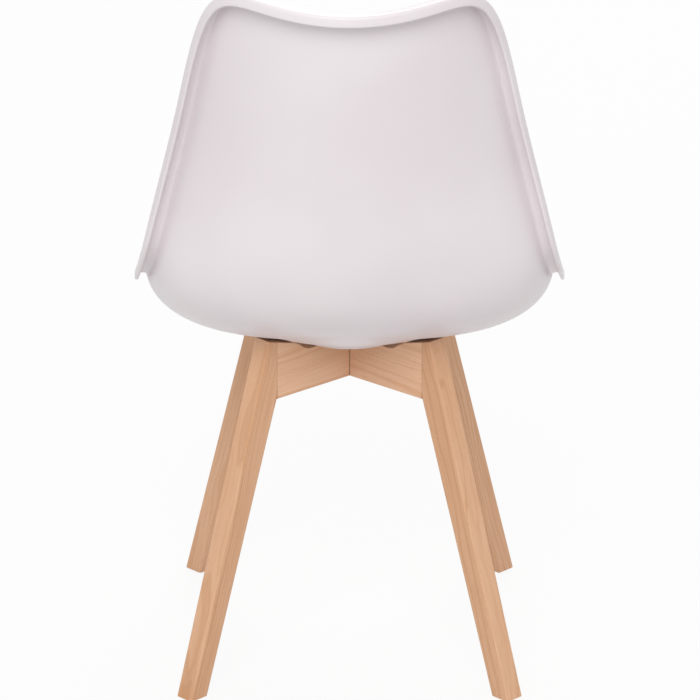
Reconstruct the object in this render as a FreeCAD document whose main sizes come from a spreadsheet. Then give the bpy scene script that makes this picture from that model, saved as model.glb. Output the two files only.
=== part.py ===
import FreeCAD, Part
import math
import os
import Sketcher
from FreeCAD import Placement, Rotation, Vector

doc = FreeCAD.newDocument("ShellChair")
sheet = doc.addObject("Spreadsheet::Sheet", "Sizes")

SIZES = {
    # where the whole chair sits, so that its box is centred on the origin
    "rear_shift": 13.8,
    # beech legs, in the upright plane of each diagonal
    "board_thick": 24.0,
    "leg_seam_reach": 124.5,
    "leg_crotch_height": 326.0,
    "leg_head_wide": 11.4,
    "leg_head_rise": 3.4,
    "leg_splay": 135.7,
    "foot_width": 25.2,
    "leg_round": 2.6,
    # crossing arms
    "arm_fall": 5.0,
    "arm_tall": 46.0,
    "horn_rise": 21.2,
    "horn_step": 12.1,
    "horn_long": 46.5,
    "horn_back": 30.5,
    "horn_foot_round": 25.0,
    "horn_bend_round": 50.0,
    "arm_round": 1.6,
    "lap_play": 0.2,
    # dowels between arm and leg, measured up from the crotch of the joint
    "dowel_radius": 4.0,
    "dowel_play": 0.1,
    "dowel_low_up": 17.0,
    "dowel_high_up": 44.0,
    "dowel_in_arm": 20.0,
    "dowel_in_leg_low": 17.0,
    "dowel_in_leg_high": 12.0,
    "dowel_end_play": 0.5,
    "dowel_chamfer": 0.8,
    # bolts that hold the shell on the arms
    "bolt_reach": 57.0,
    "bolt_radius": 3.0,
    "bolt_play": 0.5,
    "bolt_in_boss": 11.0,
    "recess_deep": 9.0,
    "recess_radius": 8.2,
    "washer_radius": 7.0,
    "washer_thick": 1.2,
    "washer_eye": 3.3,
    "spring_washer_radius": 5.6,
    "spring_washer_thick": 1.6,
    "spring_washer_eye": 3.2,
    "spring_washer_split": 0.9,
    "bolt_head_radius": 5.25,
    "bolt_head_tall": 3.3,
    "bolt_head_dome": 2.2,
    "hex_across": 4.0,
    "hex_deep": 2.0,
    # threaded inserts in the shell's bosses
    "insert_radius": 4.4,
    "insert_play": 0.05,
    "insert_bore_radius": 3.1,
    "insert_flange_radius": 6.0,
    "insert_flange_thick": 0.8,
    "insert_tall": 11.4,
    # wood screw through the half lap
    "lap_screw_radius": 2.5,
    "lap_screw_play": 0.1,
    "lap_screw_head_radius": 5.0,
    "lap_screw_head_tall": 2.6,
    "lap_screw_cover": 6.0,
    "cross_wide": 1.0,
    "cross_long": 5.0,
    "cross_deep": 1.6,
    # nylon glides
    "glide_height": 2.0,
    "glide_radius": 8.5,
    "glide_round": 0.8,
    "nail_radius": 1.3,
    "nail_play": 0.05,
    "nail_long": 14.0,
    "nail_point": 2.0,
    # underside of the shell, measured up from the top of the arms
    "boss_tall": 12.5,
    "belly_radius": 74.0,
    "belly_blend": 58.0,
    "ring_radius": 68.0,
    "ring_wall": 3.0,
    "ring_clear": 2.0,
    "boss_radius": 9.0,
    "rib_thick": 2.4,
    "rib_clear": 4.0,
    # shell skin: wall, brim and rim
    "wall": 4.5,
    "lip_start": 260.0,
    "lip_rise": 53.8,
    "spine_length": 836.0,
    "brim_root": 4.0,
    "brim_back": 9.5,
    "brim_seat": 2.0,
    "brim_hang": 6.0,
    "lip_draw": 0.4,
    "lip_round": 1.8,
    "edge_round": 3.6,
    "top_dip": 13.6,
    "corner_turn": 45.0,
    # half widths across the shell and how far its sides rise
    "half_lip": 189.3,
    "half_thigh": 223.6,
    "half_hip": 219.4,
    "half_lumbar": 196.9,
    "half_shoulder": 171.8,
    "half_top": 153.4,
    "rise_lip": 12.0,
    "rise_thigh": 47.2,
    "rise_hip": 73.6,
    "rise_lumbar": 87.4,
    "rise_shoulder": 83.8,
    "rise_top": 81.5,
    # seat pad
    "pad_gap": 0.8,
    "pad_edge": 18.0,
    "pad_crown": 48.0,
    "pad_bulge": 3.0,
}

# Plain numbers without a length: angles in degrees, powers and shares.
SHAPES = {
    "brim_roll_angle": 80.0,
    # lean of the shell's middle line, from the front lip to the top
    "lean_lip_angle": -4.0,
    "lean_front_angle": -16.0,
    "lean_thigh_angle": -15.5,
    "lean_middle_angle": -3.0,
    "lean_hip_angle": 10.0,
    "lean_bend_angle": 36.5,
    "lean_lumbar_angle": 74.0,
    "lean_back_angle": 84.8,
    "lean_top_angle": 85.3,
    # direction in which the sides rise, and how much of an arc they are
    "tilt_seat_angle": -2.0,
    "tilt_back_angle": 78.0,
    "arc_seat_angle": 85.0,
    "arc_back_angle": 62.0,
    "bowl_seat_power": 1.42,
    "bowl_back_power": 1.0,
    "corner_back_power": 7.4,
    "corner_front_power": 4.2,
    # reach of the pad in shares of the skin from the seat's middle
    "pad_side_share": 0.66,
    "pad_front_share": 0.86,
    "pad_back_share": 0.45,
}

# Sizes that follow from the ones above.
DERIVED = {
    "leg_seam_top": "leg_crotch_height + arm_tall + horn_rise",
    "leg_head_reach": "leg_seam_reach + leg_head_wide",
    "leg_head_height": "leg_crotch_height + arm_tall + horn_rise + leg_head_rise",
    "foot_reach": "leg_seam_reach + leg_splay",
    "arm_under_middle": "leg_crotch_height - arm_fall",
    "arm_top_level": "leg_crotch_height + arm_tall",
    "arm_level_reach": "leg_seam_reach - horn_long",
    "horn_bend_reach": "leg_seam_reach - horn_back",
    "horn_bend_height": "leg_crotch_height + arm_tall + horn_step",
    "lap_height": "leg_crotch_height + (arm_tall - arm_fall) / 2",
    "dowel_low": "leg_crotch_height + dowel_low_up",
    "dowel_high": "leg_crotch_height + dowel_high_up",
    "dowel_hole_radius": "dowel_radius + dowel_play",
    "recess_height": "leg_crotch_height - arm_fall + recess_deep",
    "bolt_hole_radius": "bolt_radius + bolt_play",
    "bolt_top": "leg_crotch_height + arm_tall + bolt_in_boss",
    "insert_hole_radius": "insert_radius + insert_play",
    "insert_top": "leg_crotch_height + arm_tall + insert_tall",
    "lap_screw_hole_radius": "lap_screw_radius + lap_screw_play",
    "lap_screw_top": "leg_crotch_height + arm_tall - lap_screw_cover",
    "nail_hole_radius": "nail_radius + nail_play",
    "nail_top": "glide_height + nail_long",
    "boss_height": "leg_crotch_height + arm_tall",
    "ring_height": "leg_crotch_height + arm_tall + ring_clear",
    "rib_height": "leg_crotch_height + arm_tall + rib_clear",
    "belly_height": "leg_crotch_height + arm_tall + boss_tall",
    "lip_level": "leg_crotch_height + arm_tall + boss_tall + lip_rise",
}

cells = [(alias, "%g" % value) for alias, value in {**SIZES, **SHAPES}.items()]
cells += [(alias, "=" + text) for alias, text in DERIVED.items()]
for row, (alias, text) in enumerate(cells, 1):
    sheet.set("A%d" % row, alias)
    sheet.set("B%d" % row, text)
    sheet.setAlias("B%d" % row, alias)
doc.recompute()
ALIASES = sorted([alias for alias, text in cells], key=len, reverse=True)


def size(alias):
    return float(sheet.get(alias))


def bind(obj, path, text):
    for alias in ALIASES:
        text = text.replace("<" + alias + ">", "Sizes." + alias)
    obj.setExpression(path, text)


def plane(body, role):
    for part in body.Origin.OriginFeatures:
        if part.Role == role:
            return part


def closed_profile(sketch, corners):
    """Straight outline; each corner is a pair of sheet formulas."""
    doc.recompute()
    number = len(corners)
    flat = []
    for across, up in corners:
        flat.append((evaluate(across), evaluate(up)))
    for i in range(number):
        a = flat[i]
        b = flat[(i + 1) % number]
        sketch.addGeometry(Part.LineSegment(Vector(a[0], a[1], 0), Vector(b[0], b[1], 0)), False)
    for i in range(number):
        sketch.addConstraint(Sketcher.Constraint("Coincident", i, 2, (i + 1) % number, 1))
    for i, (across, up) in enumerate(corners):
        for kind, text, value in (("DistanceX", across, flat[i][0]), ("DistanceY", up, flat[i][1])):
            low = sketch.addConstraint(Sketcher.Constraint(kind, -1, 1, i, 1, value))
            bind(sketch, "Constraints[%d]" % low, text)


def evaluate(text):
    for alias in ALIASES:
        text = text.replace("<" + alias + ">", "Sizes." + alias)
    return float(sheet.evalExpression(text))


def board(name, corners, thick):
    """A sawn board: an outline in the upright plane, padded both ways."""
    body = doc.addObject("PartDesign::Body", name)
    sketch = body.newObject("Sketcher::SketchObject", name + "Outline")
    sketch.AttachmentSupport = [(plane(body, "XZ_Plane"), "")]
    sketch.MapMode = "FlatFace"
    closed_profile(sketch, corners)
    pad = body.newObject("PartDesign::Pad", name + "Board")
    pad.Profile = sketch
    bind(pad, "Length", thick)
    pad.Midplane = True
    doc.recompute()
    return body, pad


def round_edges(body, base, name, radius, wanted):
    """Rounds those edges of the base feature that the test picks."""
    picked = []
    for i, edge in enumerate(base.Shape.Edges, 1):
        if wanted(edge):
            picked.append("Edge%d" % i)
    fillet = body.newObject("PartDesign::Fillet", name)
    fillet.Base = (base, picked)
    bind(fillet, "Radius", radius)
    doc.recompute()
    return fillet


def rod(name, radius, height, at, axis="z"):
    """A cylinder; its size and foot are sheet formulas, its axis z, x or -x."""
    obj = doc.addObject("Part::Cylinder", name)
    bind(obj, "Radius", radius)
    bind(obj, "Height", height)
    turn = {"z": Rotation(), "x": Rotation(Vector(0, 1, 0), 90), "-x": Rotation(Vector(0, 1, 0), -90)}
    obj.Placement = Placement(Vector(0, 0, 0), turn[axis])
    for letter, text in zip("xyz", at):
        if text:
            bind(obj, ".Placement.Base." + letter, text)
    return obj


def cut(name, base, tools):
    tool = tools[0]
    if len(tools) > 1:
        tool = doc.addObject("Part::MultiFuse", name + "Tools")
        tool.Shapes = tools
    obj = doc.addObject("Part::Cut", name)
    obj.Base = base
    obj.Tool = tool
    return obj


def fuse(name, shapes):
    obj = doc.addObject("Part::MultiFuse", name)
    obj.Shapes = shapes
    return obj


def group(name, shapes):
    obj = doc.addObject("Part::Compound", name)
    obj.Links = shapes
    return obj


NODES = []


def node(obj, label, turn=0.0):
    """Names a finished piece and stands it in the chair."""
    obj.Label = label
    obj.Placement = Placement(Vector(0, size("rear_shift"), 0), Rotation(Vector(0, 0, 1), turn))
    bind(obj, ".Placement.Base.y", "<rear_shift>")
    NODES.append(obj)


# Legs: the broad faces lie in the upright plane of a diagonal.
LEGS = (("rear_left", 45), ("rear_right", 135), ("front_right", 225), ("front_left", 315))

for place, turn in LEGS:
    key = "Leg" + place.title().replace("_", "")
    body, pad = board(key, [
        ("<leg_seam_reach>", "<leg_crotch_height>"),
        ("<leg_seam_reach>", "<leg_seam_top>"),
        ("<leg_head_reach>", "<leg_head_height>"),
        ("<foot_reach>", "<glide_height>"),
        ("<foot_reach> - <foot_width>", "<glide_height>"),
    ], "<board_thick>")

    def long_edge(edge):
        low = edge.BoundBox.ZMin < size("glide_height") + 1
        return low and edge.BoundBox.ZLength > size("leg_crotch_height") / 2

    rounded = round_edges(body, pad, key + "Round", "<leg_round>", long_edge)

    tools = [
        rod(key + "DowelLow", "<dowel_hole_radius>", "<dowel_in_leg_low> + <dowel_end_play>",
            ("<leg_seam_reach>", "", "<dowel_low>"), "x"),
        rod(key + "DowelHigh", "<dowel_hole_radius>", "<dowel_in_leg_high> + <dowel_end_play>",
            ("<leg_seam_reach>", "", "<dowel_high>"), "x"),
        rod(key + "NailHole", "<nail_hole_radius>", "<nail_top> + 1",
            ("<foot_reach> - <foot_width> / 2", "", "0"), "z"),
    ]
    node(cut(key + "Bored", body, tools), "leg_" + place, turn)

# Arms: two long boards, halved into each other where they cross.
ARM_OUTLINE = [
    ("0", "<arm_under_middle>"),
    ("<leg_seam_reach>", "<leg_crotch_height>"),
    ("<leg_seam_reach>", "<leg_seam_top>"),
    ("<horn_bend_reach>", "<horn_bend_height>"),
    ("<arm_level_reach>", "<arm_top_level>"),
    ("-<arm_level_reach>", "<arm_top_level>"),
    ("-<horn_bend_reach>", "<horn_bend_height>"),
    ("-<leg_seam_reach>", "<leg_seam_top>"),
    ("-<leg_seam_reach>", "<leg_crotch_height>"),
]

for label, key, turn, from_below in (
        ("arm_lap_below", "ArmUnder", 45, True), ("arm_lap_above", "ArmOver", 135, False)):
    body, pad = board(key, ARM_OUTLINE, "<board_thick>")

    def at_height(alias):
        def picked(edge):
            box = edge.BoundBox
            level = abs(box.ZMin - size(alias)) < 0.1 and box.ZLength < 0.1
            return level and box.XLength < 0.1
        return picked

    foot = round_edges(body, pad, key + "HornFoot", "<horn_foot_round>", at_height("arm_top_level"))
    bent = round_edges(body, foot, key + "HornBend", "<horn_bend_round>",
                       at_height("horn_bend_height"))

    notch_sketch = body.newObject("Sketcher::SketchObject", key + "NotchOutline")
    notch_sketch.AttachmentSupport = [(plane(body, "XZ_Plane"), "")]
    notch_sketch.MapMode = "FlatFace"
    half = "<board_thick> / 2 + <lap_play> / 2"
    ends = ("<arm_under_middle> - <arm_fall>", "<lap_height>") if from_below else (
        "<lap_height> - <lap_play> / 2", "<arm_top_level> + <arm_fall>")
    closed_profile(notch_sketch, [
        ("-(" + half + ")", ends[0]), (half, ends[0]), (half, ends[1]), ("-(" + half + ")", ends[1])])
    notch = body.newObject("PartDesign::Pocket", key + "Notch")
    notch.Profile = notch_sketch
    notch.Type = "ThroughAll"
    notch.Midplane = True
    doc.recompute()

    def under_edge(edge):
        box = edge.BoundBox
        low = box.ZMax < size("leg_crotch_height") + 0.1
        return low and box.XLength > size("leg_seam_reach") / 2

    rounded = round_edges(body, notch, key + "Round", "<arm_round>", under_edge)

    tools = []
    for side, sign in (("A", ""), ("B", "-")):
        out = "-x" if sign == "" else "x"
        for level in ("low", "high"):
            tools.append(rod(key + "Dowel" + side + level, "<dowel_hole_radius>",
                             "<dowel_in_arm> + <dowel_end_play>",
                             (sign + "<leg_seam_reach>", "", "<dowel_" + level + ">"), out))
        tools.append(rod(key + "BoltHole" + side, "<bolt_hole_radius>", "2 * <arm_tall>",
                         (sign + "<bolt_reach>", "", "<arm_under_middle> - <arm_fall>"), "z"))
        tools.append(rod(key + "Recess" + side, "<recess_radius>", "<recess_deep> + <arm_fall>",
                         (sign + "<bolt_reach>", "", "<arm_under_middle> - <arm_fall>"), "z"))
    if from_below:
        tools.append(rod(key + "ScrewHole", "<lap_screw_hole_radius>",
                         "<lap_screw_top> + <dowel_end_play> - <lap_height>", ("", "", "<lap_height>"),
                         "z"))
    else:
        tools.append(rod(key + "ScrewHole", "<lap_screw_hole_radius>", "<arm_tall>",
                         ("", "", "<arm_under_middle> - <arm_fall>"), "z"))
        sink = doc.addObject("Part::Cone", key + "ScrewSink")
        bind(sink, "Radius1", "<lap_screw_head_radius> + <lap_screw_play>")
        bind(sink, "Radius2", "<lap_screw_hole_radius>")
        bind(sink, "Height", "<lap_screw_head_tall>")
        bind(sink, ".Placement.Base.z", "<arm_under_middle>")
        tools.append(sink)
    node(cut(key + "Bored", body, tools), label, turn)

# Dowels: two in each joint between arm and leg.
dowels = []
for place, turn in LEGS:
    for level in ("low", "high"):
        name = "Dowel" + place.title().replace("_", "") + level
        one = doc.addObject("Part::Cylinder", name)
        bind(one, "Radius", "<dowel_radius>")
        bind(one, "Height", "<dowel_in_arm> + <dowel_in_leg_" + level + ">")
        one.Placement = Placement(Vector(0, 0, 0), Rotation(Vector(0, 1, 0), 90))
        edge = doc.addObject("Part::Chamfer", name + "Ends")
        edge.Base = one
        doc.recompute()
        rims = [i for i, e in enumerate(one.Shape.Edges, 1) if e.Closed and e.Length > 1]
        edge.Edges = [(i, size("dowel_chamfer"), size("dowel_chamfer")) for i in rims]
        edge.Placement = Placement(Vector(0, 0, 0), Rotation(Vector(0, 0, 1), turn))
        bind(edge, ".Placement.Base.x", "(<leg_seam_reach> - <dowel_in_arm>) * cos(%d)" % turn)
        bind(edge, ".Placement.Base.y", "(<leg_seam_reach> - <dowel_in_arm>) * sin(%d)" % turn)
        bind(edge, ".Placement.Base.z", "<dowel_" + level + ">")
        dowels.append(edge)
node(group("Dowels", dowels), "joint_dowels")


def ring_of(name, make):
    """Four alike pieces, one over each bolt."""
    made = []
    for place, turn in LEGS:
        key = name + place.title().replace("_", "")
        one = make(key)
        bind(one, ".Placement.Base.x", "<bolt_reach> * cos(%d)" % turn)
        bind(one, ".Placement.Base.y", "<bolt_reach> * sin(%d)" % turn)
        made.append(one)
    return made


def make_washer(key):
    outer = rod(key + "Disc", "<washer_radius>", "<washer_thick>", ("", "", ""))
    inner = rod(key + "Eye", "<washer_eye>", "3 * <washer_thick>",
                ("", "", "-<washer_thick>"))
    obj = cut(key, outer, [inner])
    bind(obj, ".Placement.Base.z", "<recess_height> - <washer_thick>")
    return obj


def make_spring_washer(key):
    outer = rod(key + "Disc", "<spring_washer_radius>", "<spring_washer_thick>", ("", "", ""))
    inner = rod(key + "Eye", "<spring_washer_eye>", "3 * <spring_washer_thick>",
                ("", "", "-<spring_washer_thick>"))
    split = doc.addObject("Part::Box", key + "Split")
    bind(split, "Length", "<spring_washer_radius> + 1")
    bind(split, "Width", "<spring_washer_split>")
    bind(split, "Height", "3 * <spring_washer_thick>")
    bind(split, ".Placement.Base.y", "-<spring_washer_split> / 2")
    bind(split, ".Placement.Base.z", "-<spring_washer_thick>")
    obj = cut(key, outer, [inner, split])
    bind(obj, ".Placement.Base.z", "<recess_height> - <washer_thick> - <spring_washer_thick>")
    return obj


def make_bolt(key):
    """Button head with a hex socket; the origin is under the head."""
    shank = rod(key + "Shank", "<bolt_radius>",
                "<bolt_top> - <recess_height> + <washer_thick> + <spring_washer_thick>", ("", "", ""))
    head = rod(key + "Head", "<bolt_head_radius>", "<bolt_head_tall>", ("", "", "-<bolt_head_tall>"))
    domed = doc.addObject("Part::Fillet", key + "Dome")
    domed.Base = head
    doc.recompute()
    low = [i for i, e in enumerate(head.Shape.Edges, 1)
           if e.Closed and e.BoundBox.ZMax < -size("bolt_head_tall") + 0.1]
    domed.Edges = [(i, size("bolt_head_dome"), size("bolt_head_dome")) for i in low]
    tip = doc.addObject("Part::Chamfer", key + "Tip")
    tip.Base = shank
    doc.recompute()
    high = [i for i, e in enumerate(shank.Shape.Edges, 1) if e.Closed and e.BoundBox.ZMin > size("bolt_in_boss")]
    tip.Edges = [(i, size("dowel_chamfer"), size("dowel_chamfer")) for i in high]
    solid = fuse(key + "Solid", [tip, domed])
    socket = doc.addObject("Part::Prism", key + "Socket")
    socket.Polygon = 6
    bind(socket, "Circumradius", "<hex_across> / sqrt(3)")
    bind(socket, "Height", "<hex_deep> + 1")
    bind(socket, ".Placement.Base.z", "-<bolt_head_tall> - 1")
    obj = cut(key, solid, [socket])
    bind(obj, ".Placement.Base.z", "<recess_height> - <washer_thick> - <spring_washer_thick>")
    return obj


def make_insert(key):
    barrel = rod(key + "Barrel", "<insert_radius>", "<insert_top> - <boss_height>", ("", "", ""))
    flange = rod(key + "Flange", "<insert_flange_radius>", "<insert_flange_thick>", ("", "", ""))
    solid = fuse(key + "Solid", [barrel, flange])
    bore = rod(key + "Bore", "<insert_bore_radius>", "2 * <insert_tall>", ("", "", "-<insert_tall> / 2"))
    obj = cut(key, solid, [bore])
    bind(obj, ".Placement.Base.z", "<boss_height>")
    return obj


node(group("Washers", ring_of("Washer", make_washer)), "seat_washers")
node(group("SpringWashers", ring_of("SpringWasher", make_spring_washer)), "spring_washers")
node(group("Bolts", ring_of("Bolt", make_bolt)), "seat_bolts")
node(group("Inserts", ring_of("Insert", make_insert)), "threaded_inserts")

# Screw that keeps the half lap closed.
screw_shank = rod("LapScrewShank", "<lap_screw_radius>",
                  "<lap_screw_top> - <arm_under_middle> - <lap_screw_head_tall>",
                  ("", "", "<arm_under_middle> + <lap_screw_head_tall>"))
screw_head = doc.addObject("Part::Cone", "LapScrewHead")
bind(screw_head, "Radius1", "<lap_screw_head_radius>")
bind(screw_head, "Radius2", "<lap_screw_radius>")
bind(screw_head, "Height", "<lap_screw_head_tall>")
bind(screw_head, ".Placement.Base.z", "<arm_under_middle>")
cross_long = doc.addObject("Part::Box", "LapScrewCrossLong")
cross_wide = doc.addObject("Part::Box", "LapScrewCrossWide")
for blade, long, wide in ((cross_long, "<cross_long>", "<cross_wide>"),
                          (cross_wide, "<cross_wide>", "<cross_long>")):
    bind(blade, "Length", long)
    bind(blade, "Width", wide)
    bind(blade, "Height", "2 * <cross_deep>")
    bind(blade, ".Placement.Base.x", "-" + long + " / 2")
    bind(blade, ".Placement.Base.y", "-" + wide + " / 2")
    bind(blade, ".Placement.Base.z", "<arm_under_middle> - <cross_deep>")
node(cut("LapScrew", fuse("LapScrewSolid", [screw_shank, screw_head]), [cross_long, cross_wide]),
     "lap_screw")

# Nylon glides, each with its nail, turned about the nail's axis.
for place, turn in LEGS:
    key = "Glide" + place.title().replace("_", "")
    body = doc.addObject("PartDesign::Body", key)
    sketch = body.newObject("Sketcher::SketchObject", key + "Outline")
    sketch.AttachmentSupport = [(plane(body, "XZ_Plane"), "")]
    sketch.MapMode = "FlatFace"
    closed_profile(sketch, [
        ("0", "0"), ("<glide_radius>", "0"), ("<glide_radius>", "<glide_height>"),
        ("<nail_radius>", "<glide_height>"), ("<nail_radius>", "<nail_top> - <nail_point>"), ("0", "<nail_top>")])
    turned = body.newObject("PartDesign::Revolution", key + "Turned")
    turned.Profile = sketch
    turned.ReferenceAxis = (sketch, ["V_Axis"])
    turned.Angle = 360
    doc.recompute()

    def floor_rim(edge):
        return edge.Closed and edge.BoundBox.ZMax < 0.1 and edge.BoundBox.XLength > 5

    round_edges(body, turned, key + "Round", "<glide_round>", floor_rim)
    node(body, "glide_" + place, 0)
    reach = "(<foot_reach> - <foot_width> / 2)"
    bind(body, ".Placement.Base.x", reach + " * cos(%d)" % turn)
    bind(body, ".Placement.Base.y", reach + " * sin(%d) + <rear_shift>" % turn)


# Moulded shell: a middle line from the front lip to the top, with a curved
# section across it, closed by a rolled brim all round.
def natural_spline(xs, ys):
    n = len(xs)
    gap = [xs[i + 1] - xs[i] for i in range(n - 1)]
    low, mid, high, right = [0.0] * n, [1.0] * n, [0.0] * n, [0.0] * n
    for i in range(1, n - 1):
        low[i] = gap[i - 1]
        mid[i] = 2 * (gap[i - 1] + gap[i])
        high[i] = gap[i]
        right[i] = 6 * ((ys[i + 1] - ys[i]) / gap[i] - (ys[i] - ys[i - 1]) / gap[i - 1])
    for i in range(1, n):
        share = low[i] / mid[i - 1]
        mid[i] -= share * high[i - 1]
        right[i] -= share * right[i - 1]
    bend = [0.0] * n
    for i in range(n - 2, 0, -1):
        bend[i] = (right[i] - high[i] * bend[i + 1]) / mid[i]

    def at(x):
        i = 0
        while i < n - 2 and x > xs[i + 1]:
            i += 1
        a = (xs[i + 1] - x) / gap[i]
        b = 1 - a
        curve = ((a ** 3 - a) * bend[i] + (b ** 3 - b) * bend[i + 1]) * gap[i] ** 2 / 6
        return a * ys[i] + b * ys[i + 1] + curve

    return at


def level_spline(xs, ys):
    """A curve through the values that never swings past them."""
    n = len(xs)
    rate = [(ys[i + 1] - ys[i]) / (xs[i + 1] - xs[i]) for i in range(n - 1)]
    slope = [rate[0]] + [0.0] * (n - 2) + [rate[-1]]
    for i in range(1, n - 1):
        a, b = rate[i - 1], rate[i]
        if a * b > 0:
            p, q = xs[i] - xs[i - 1], xs[i + 1] - xs[i]
            slope[i] = 3 * (p + q) / ((2 * q + p) / a + (q + 2 * p) / b)

    def at(x):
        i = 0
        while i < n - 2 and x > xs[i + 1]:
            i += 1
        wide = xs[i + 1] - xs[i]
        t = (x - xs[i]) / wide
        value = ys[i] * (1 + 2 * t) * (1 - t) ** 2 + ys[i + 1] * t * t * (3 - 2 * t)
        return value + wide * (slope[i] * t * (1 - t) ** 2 - slope[i + 1] * t * t * (1 - t))

    return at


def ease(t):
    t = min(max(t, 0.0), 1.0)
    return t * t * t * (t * (6 * t - 15) + 10)


def between(first, second, t):
    """Eases from one size to another as t goes from 0 to 1."""
    return size(first) + (size(second) - size(first)) * ease(t)


STATIONS = ("lip", "thigh", "hip", "lumbar", "shoulder", "top")
SHARES = (0.0, 0.25, 0.45, 0.62, 0.80, 1.0)
half_width = natural_spline(SHARES, [size("half_" + s) for s in STATIONS])
side_rise = natural_spline(SHARES, [size("rise_" + s) for s in STATIONS])
LEANS = ("lip", "front", "thigh", "middle", "hip", "bend", "lumbar", "back", "top")
lean = level_spline((0.0, 0.1, 0.2, 0.3, 0.4, 0.5, 0.6, 0.7, 1.0),
                    [math.radians(size("lean_%s_angle" % s)) for s in LEANS])

STEPS = 600
spine_step = size("spine_length") / STEPS
spine = [(size("lip_start"), size("lip_level"))]
for i in range(STEPS):
    angle = lean((i + 0.5) / STEPS)
    y, z = spine[-1]
    spine.append((y - math.cos(angle) * spine_step, z + math.sin(angle) * spine_step))


def spine_at(share):
    place = share * STEPS
    i = min(max(int(place), 0), STEPS - 1)
    rest = (place - i) * spine_step
    angle = lean((i + (place - i) / 2) / STEPS)
    y, z = spine[i]
    return y - math.cos(angle) * rest, z + math.sin(angle) * rest


def skin(share, side):
    """Outer skin; share runs from lip to top, side from -1 to 1 across."""
    y, z = spine_at(share)
    tilt = math.radians(between("tilt_seat_angle", "tilt_back_angle", (share - 0.05) / 0.95))
    back = (share - 0.40) / 0.45
    sweep = math.radians(between("arc_seat_angle", "arc_back_angle", back))
    power = between("bowl_seat_power", "bowl_back_power", back)
    x = half_width(share) * math.sin(side * sweep) / math.sin(sweep)
    bowl = max((1 - math.cos(side * sweep)) / (1 - math.cos(sweep)), 1e-12) ** power
    rise = side_rise(share) * bowl
    return Vector(x, y + rise * math.sin(tilt), z + rise * math.cos(tilt))


def sheet_point(side, along):
    """Outer skin; both run from -1 to 1, side across and along from front to top."""
    share = 0.315 + 0.30 * along + 0.185 * along ** 2 + 0.20 * along ** 3
    dip = size("top_dip") / size("spine_length")
    share -= dip * ease((share - 0.6) / 0.4) * (1 - side ** 2) ** 2
    point = skin(share, side)
    blend = ease((math.hypot(point.x, point.y) - size("belly_radius")) / size("belly_blend"))
    point.z = point.z * blend + size("belly_height") * (1 - blend)
    return point


def sheet_frame(side, along):
    """Point of the outer skin and its unit normal, away from the sitter."""
    step = 1e-3
    across = sheet_point(side + step, along) - sheet_point(side - step, along)
    upward = sheet_point(side, along + step) - sheet_point(side, along - step)
    return sheet_point(side, along), across.cross(upward).normalize()


CIRCLE_REACH = {}
LEVEL_SHARE = 0.985


def circle_reach(c, s):
    """Share at which a ray from the seat's middle leaves the level circle."""
    key = (round(c, 9), round(s, 9))
    if key not in CIRCLE_REACH:
        low, high = 0.0, 0.6
        for turn in range(40):
            middle = (low + high) / 2
            point = sheet_point(middle * c, middle * s)
            if math.hypot(point.x, point.y) > size("belly_radius") * LEVEL_SHARE:
                high = middle
            else:
                low = middle
        CIRCLE_REACH[key] = low
    return CIRCLE_REACH[key]


def ring_place(ring, angle):
    """Rings: 0 at the level circle under the seat, 1 at the rim."""
    c, s = math.cos(angle), math.sin(angle)
    power = between("corner_front_power", "corner_back_power", (s + 0.3) / 1.1)
    full = 1 / (abs(c) ** power + abs(s) ** power) ** (1 / power)
    start = circle_reach(c, s)
    reach = start + (full - start) * ring
    return reach * c, reach * s


def outer(ring, angle):
    return sheet_point(*ring_place(ring, angle))


def frame_at(ring, angle):
    """Point of a ring, then unit vectors outward in the skin and away from the sitter."""
    step = 1e-3
    here, normal = sheet_frame(*ring_place(ring, angle))
    along = (outer(ring, angle + step) - outer(ring, angle - step)).normalize()
    away = along.cross(normal).normalize()
    if away.dot(here - outer(ring - 0.01, angle)) < 0:
        away = away * -1
    return here, away, normal


# Angles round the rim, closer together where the outline turns.
def rim_angles(number):
    fine = 720
    points = []
    for i in range(fine + 1):
        points.append(outer(1.0, -math.pi / 2 + math.pi * i / fine))
    total = [0.0]
    for i in range(1, fine + 1):
        step = (points[i] - points[i - 1]).Length
        turn = 0.0
        if i < fine:
            turn = (points[i] - points[i - 1]).getAngle(points[i + 1] - points[i])
        total.append(total[-1] + step + size("corner_turn") * turn)
    picked = []
    for k in range(number + 1):
        want = total[-1] * k / number
        i = min(range(fine + 1), key=lambda j: abs(total[j] - want))
        if 0 < i < fine:
            low = i if total[i] <= want else i - 1
            part = (want - total[low]) / (total[low + 1] - total[low])
            picked.append(-math.pi / 2 + math.pi * (low + part) / fine)
        else:
            picked.append(-math.pi / 2 + math.pi * i / fine)
    return picked


HALF = 40
ANGLES = rim_angles(HALF)


def ring_wire(half_points):
    """A smooth closed wire from the points of its left half and their mirror."""
    first = half_points
    other = [Vector(-p.x, p.y, p.z) for p in reversed(half_points[1:-1])]
    curve = Part.BSplineCurve()
    placed = [Vector(p.x, -p.y, p.z) for p in first + other]
    curve.interpolate(Points=placed, PeriodicFlag=True)
    return Part.Wire([curve.toShape()])


def skin_wire(ring, lift):
    points = []
    for angle in ANGLES:
        here, normal = sheet_frame(*ring_place(ring, angle))
        points.append(here - normal * lift)
    points[0].x = points[-1].x = 0.0
    return ring_wire(points)


wall = size("wall")
hang = size("brim_hang")
roll = math.radians(size("brim_roll_angle"))


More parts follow.
